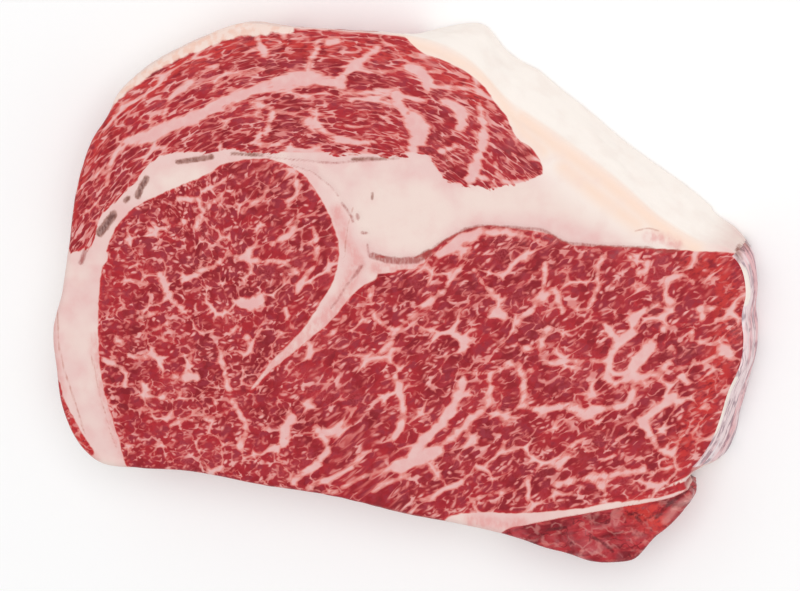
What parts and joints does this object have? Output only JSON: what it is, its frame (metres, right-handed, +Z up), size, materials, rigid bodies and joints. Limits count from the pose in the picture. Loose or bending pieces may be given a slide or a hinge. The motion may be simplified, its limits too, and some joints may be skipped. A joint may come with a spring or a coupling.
{
  "type": "raw beef steak",
  "caption": "Thick raw ribeye steak lying flat: marbled red eye and cap muscles, creamy fat cap and seams, a loose rib strip and silverskin on one side.",
  "frame": {"origin": "on the underside, below the middle of the whole steak", "axes": "+X along the steak's length towards the silverskin side, +Y across it towards the fat cap, +Z up out of the shown cut face"},
  "size_m": [0.1954, 0.147, 0.025],
  "materials": {
    "fat": "raw beef fat, creamy and softly waxy, peach along the cut edge",
    "cap_lean": "raw lean beef in long streaks with pale marbling, moist",
    "eye_lean": "raw lean beef with dense branching marbling, moist",
    "membrane": "pale connective membrane, smooth and damp",
    "rib_lean": "dark folded raw beef, wet",
    "silverskin": "pinkish white silverskin with fine purple-grey wrinkles, satin"
  },
  "bodies": {
    "root": {"fat": "fat", "cap_muscle": "cap_lean", "eye_muscle": "eye_lean", "rib_seam": "membrane", "rib_strip": "rib_lean", "silverskin": "silverskin"}
  },
  "joints": []
}
